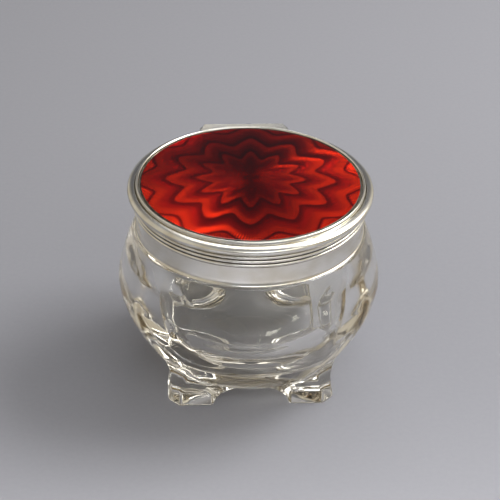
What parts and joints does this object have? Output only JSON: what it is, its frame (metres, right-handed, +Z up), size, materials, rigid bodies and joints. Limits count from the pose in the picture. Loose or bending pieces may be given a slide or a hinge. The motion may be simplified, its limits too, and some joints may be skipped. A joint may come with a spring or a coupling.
{
  "type": "cut glass jar",
  "caption": "Footed dressing-table jar in clear fluted glass with a silver collar and a hinged silver lid topped with red guilloche enamel.",
  "frame": {"origin": "on the ground plane, on the vertical axis of the jar, midway between the four feet", "axes": "+Z up through the lid, -Y towards the front of the lid, +Y towards the hinge, +X to the right seen from the front"},
  "size_m": [0.0782, 0.0782, 0.0642],
  "materials": {
    "clear_glass": "polished clear lead glass, ground and polished feet",
    "silver": "polished sterling silver with fine handling marks",
    "gilt_silver": "gilt silver, satin",
    "red_enamel": "translucent red enamel over engine-turned silver, fire polished",
    "plaster": "matt white plaster"
  },
  "bodies": {
    "jar": {"glass_jar": "clear_glass", "neck_plaster": "plaster", "collar_band": "silver", "reeded_moulding": "silver", "mouth_bezel": "silver", "collar_hinge_plate": "silver", "collar_knuckle_left": "silver", "collar_knuckle_centre": "silver", "collar_knuckle_right": "silver", "hinge_pin": "silver"},
    "lid": {"lid_rim": "silver", "enamel_bezel": "silver", "guilloche_plate": "silver", "enamel_disc": "red_enamel", "lid_lining": "gilt_silver", "lid_hinge_plate": "silver", "lid_knuckle_left": "silver", "lid_knuckle_right": "silver"}
  },
  "joints": [
    {"name": "lid_hinge", "type": "hinge", "parent": "jar", "child": "lid", "pos_m": [0, 0.0376, 0.0593], "axis": [-1, 0, 0], "range_deg": [0, 105]}
  ]
}
